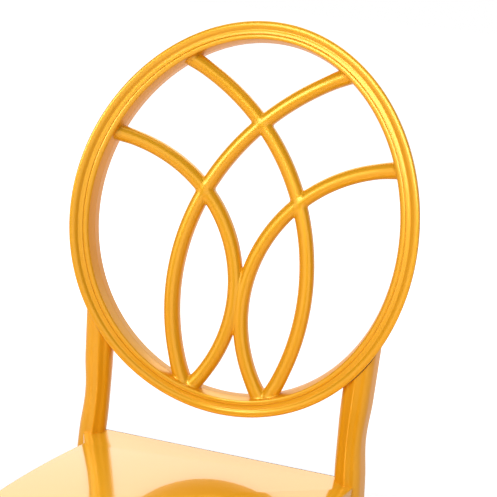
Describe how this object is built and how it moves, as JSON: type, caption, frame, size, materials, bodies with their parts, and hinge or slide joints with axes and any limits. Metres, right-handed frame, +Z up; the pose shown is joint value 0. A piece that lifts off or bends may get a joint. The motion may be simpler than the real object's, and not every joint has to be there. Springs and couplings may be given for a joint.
{
  "type": "event chair",
  "caption": "Stackable event chair in gold moulded resin: an oval back with an interlaced lattice, posts that sweep into splayed rear legs, a ribbed seat shell and turned front legs.",
  "frame": {"origin": "on the floor, under the middle of the chair's bounding box", "axes": "+Z up; the chair faces -Y, so +Y is towards its back; +X is to the right of someone who looks at its front"},
  "size_m": [0.4, 0.4945, 0.9145],
  "materials": {
    "gold_resin": "glossy metallic gold",
    "core_steel": "plain drawn steel",
    "zinc_steel": "bright zinc plate",
    "insert_brass": "plain",
    "glide_nylon": "matt moulded"
  },
  "bodies": {
    "root": {"oval_back": "gold_resin", "rear_leg_left": "gold_resin", "rear_leg_right": "gold_resin", "seat_shell": "gold_resin", "front_leg_left": "gold_resin", "front_leg_right": "gold_resin", "screw_cap_left": "gold_resin", "screw_cap_right": "gold_resin", "rear_core_left": "core_steel", "rear_core_right": "core_steel", "front_core_left": "core_steel", "front_core_right": "core_steel", "foot_glide_front_left": "glide_nylon", "foot_glide_front_right": "glide_nylon", "foot_glide_rear_left": "glide_nylon", "foot_glide_rear_right": "glide_nylon", "front_bolt_plate_left": "zinc_steel", "front_bolt_plate_right": "zinc_steel", "rear_bolt_plate_left": "zinc_steel", "rear_bolt_plate_right": "zinc_steel", "front_leg_bolt_left_upper": "zinc_steel", "front_leg_bolt_left_lower": "zinc_steel", "front_leg_bolt_right_upper": "zinc_steel", "front_leg_bolt_right_lower": "zinc_steel", "rear_leg_bolt_left_upper": "zinc_steel", "rear_leg_bolt_left_lower": "zinc_steel", "rear_leg_bolt_right_upper": "zinc_steel", "rear_leg_bolt_right_lower": "zinc_steel", "back_lock_screw_left": "zinc_steel", "back_lock_screw_right": "zinc_steel", "front_leg_insert_left_upper": "insert_brass", "front_leg_insert_left_lower": "insert_brass", "front_leg_insert_right_upper": "insert_brass", "front_leg_insert_right_lower": "insert_brass", "rear_leg_insert_left_upper": "insert_brass", "rear_leg_insert_left_lower": "insert_brass", "rear_leg_insert_right_upper": "insert_brass", "rear_leg_insert_right_lower": "insert_brass"}
  },
  "joints": []
}
